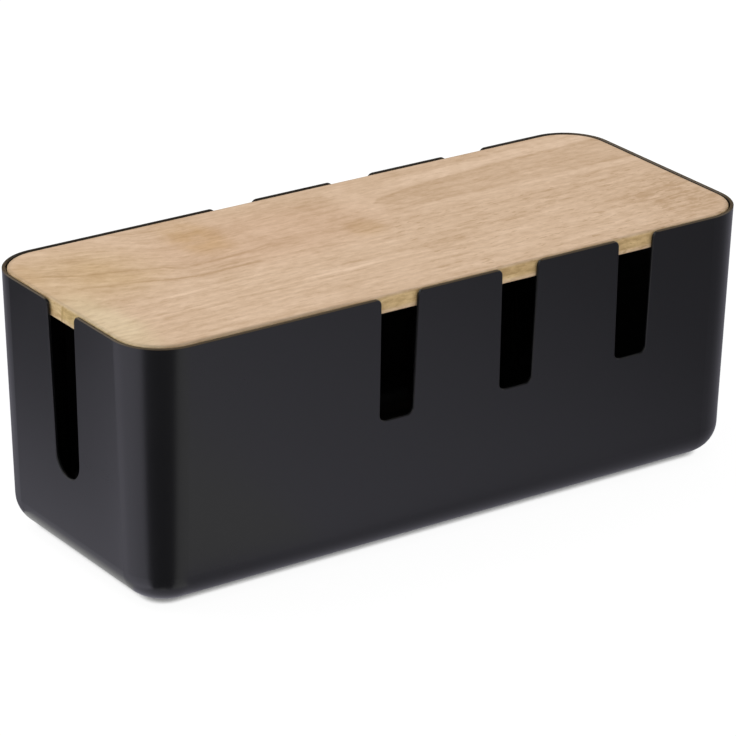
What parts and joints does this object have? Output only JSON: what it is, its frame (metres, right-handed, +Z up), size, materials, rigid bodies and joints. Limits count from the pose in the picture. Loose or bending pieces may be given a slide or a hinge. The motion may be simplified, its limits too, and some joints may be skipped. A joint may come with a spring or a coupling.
{
  "type": "cable management box",
  "caption": "Open-topped rounded plastic box with cable slots in its walls and a drop-in wooden lid, for hiding a power strip and its cables.",
  "frame": {"origin": "on the surface that the box stands on, under the middle of its footprint", "axes": "+Z up, +X along the box towards the end without a slot, -Y the front long side"},
  "size_m": [0.305, 0.125, 0.115],
  "materials": {
    "box_plastic": "satin black, finely textured moulding",
    "lid_wood": "pale, clear-coated solid wood with fine flecks",
    "foot_rubber": "matte black"
  },
  "bodies": {
    "box": {"box_body": "box_plastic", "foot_front_left": "foot_rubber", "foot_front_right": "foot_rubber", "foot_rear_left": "foot_rubber", "foot_rear_right": "foot_rubber"},
    "lid": {"lid_board": "lid_wood"}
  },
  "joints": [
    {"name": "lid_lift", "type": "slide", "parent": "box", "child": "lid", "axis": [0, 0, 1], "range_m": [0, 0.15]}
  ]
}
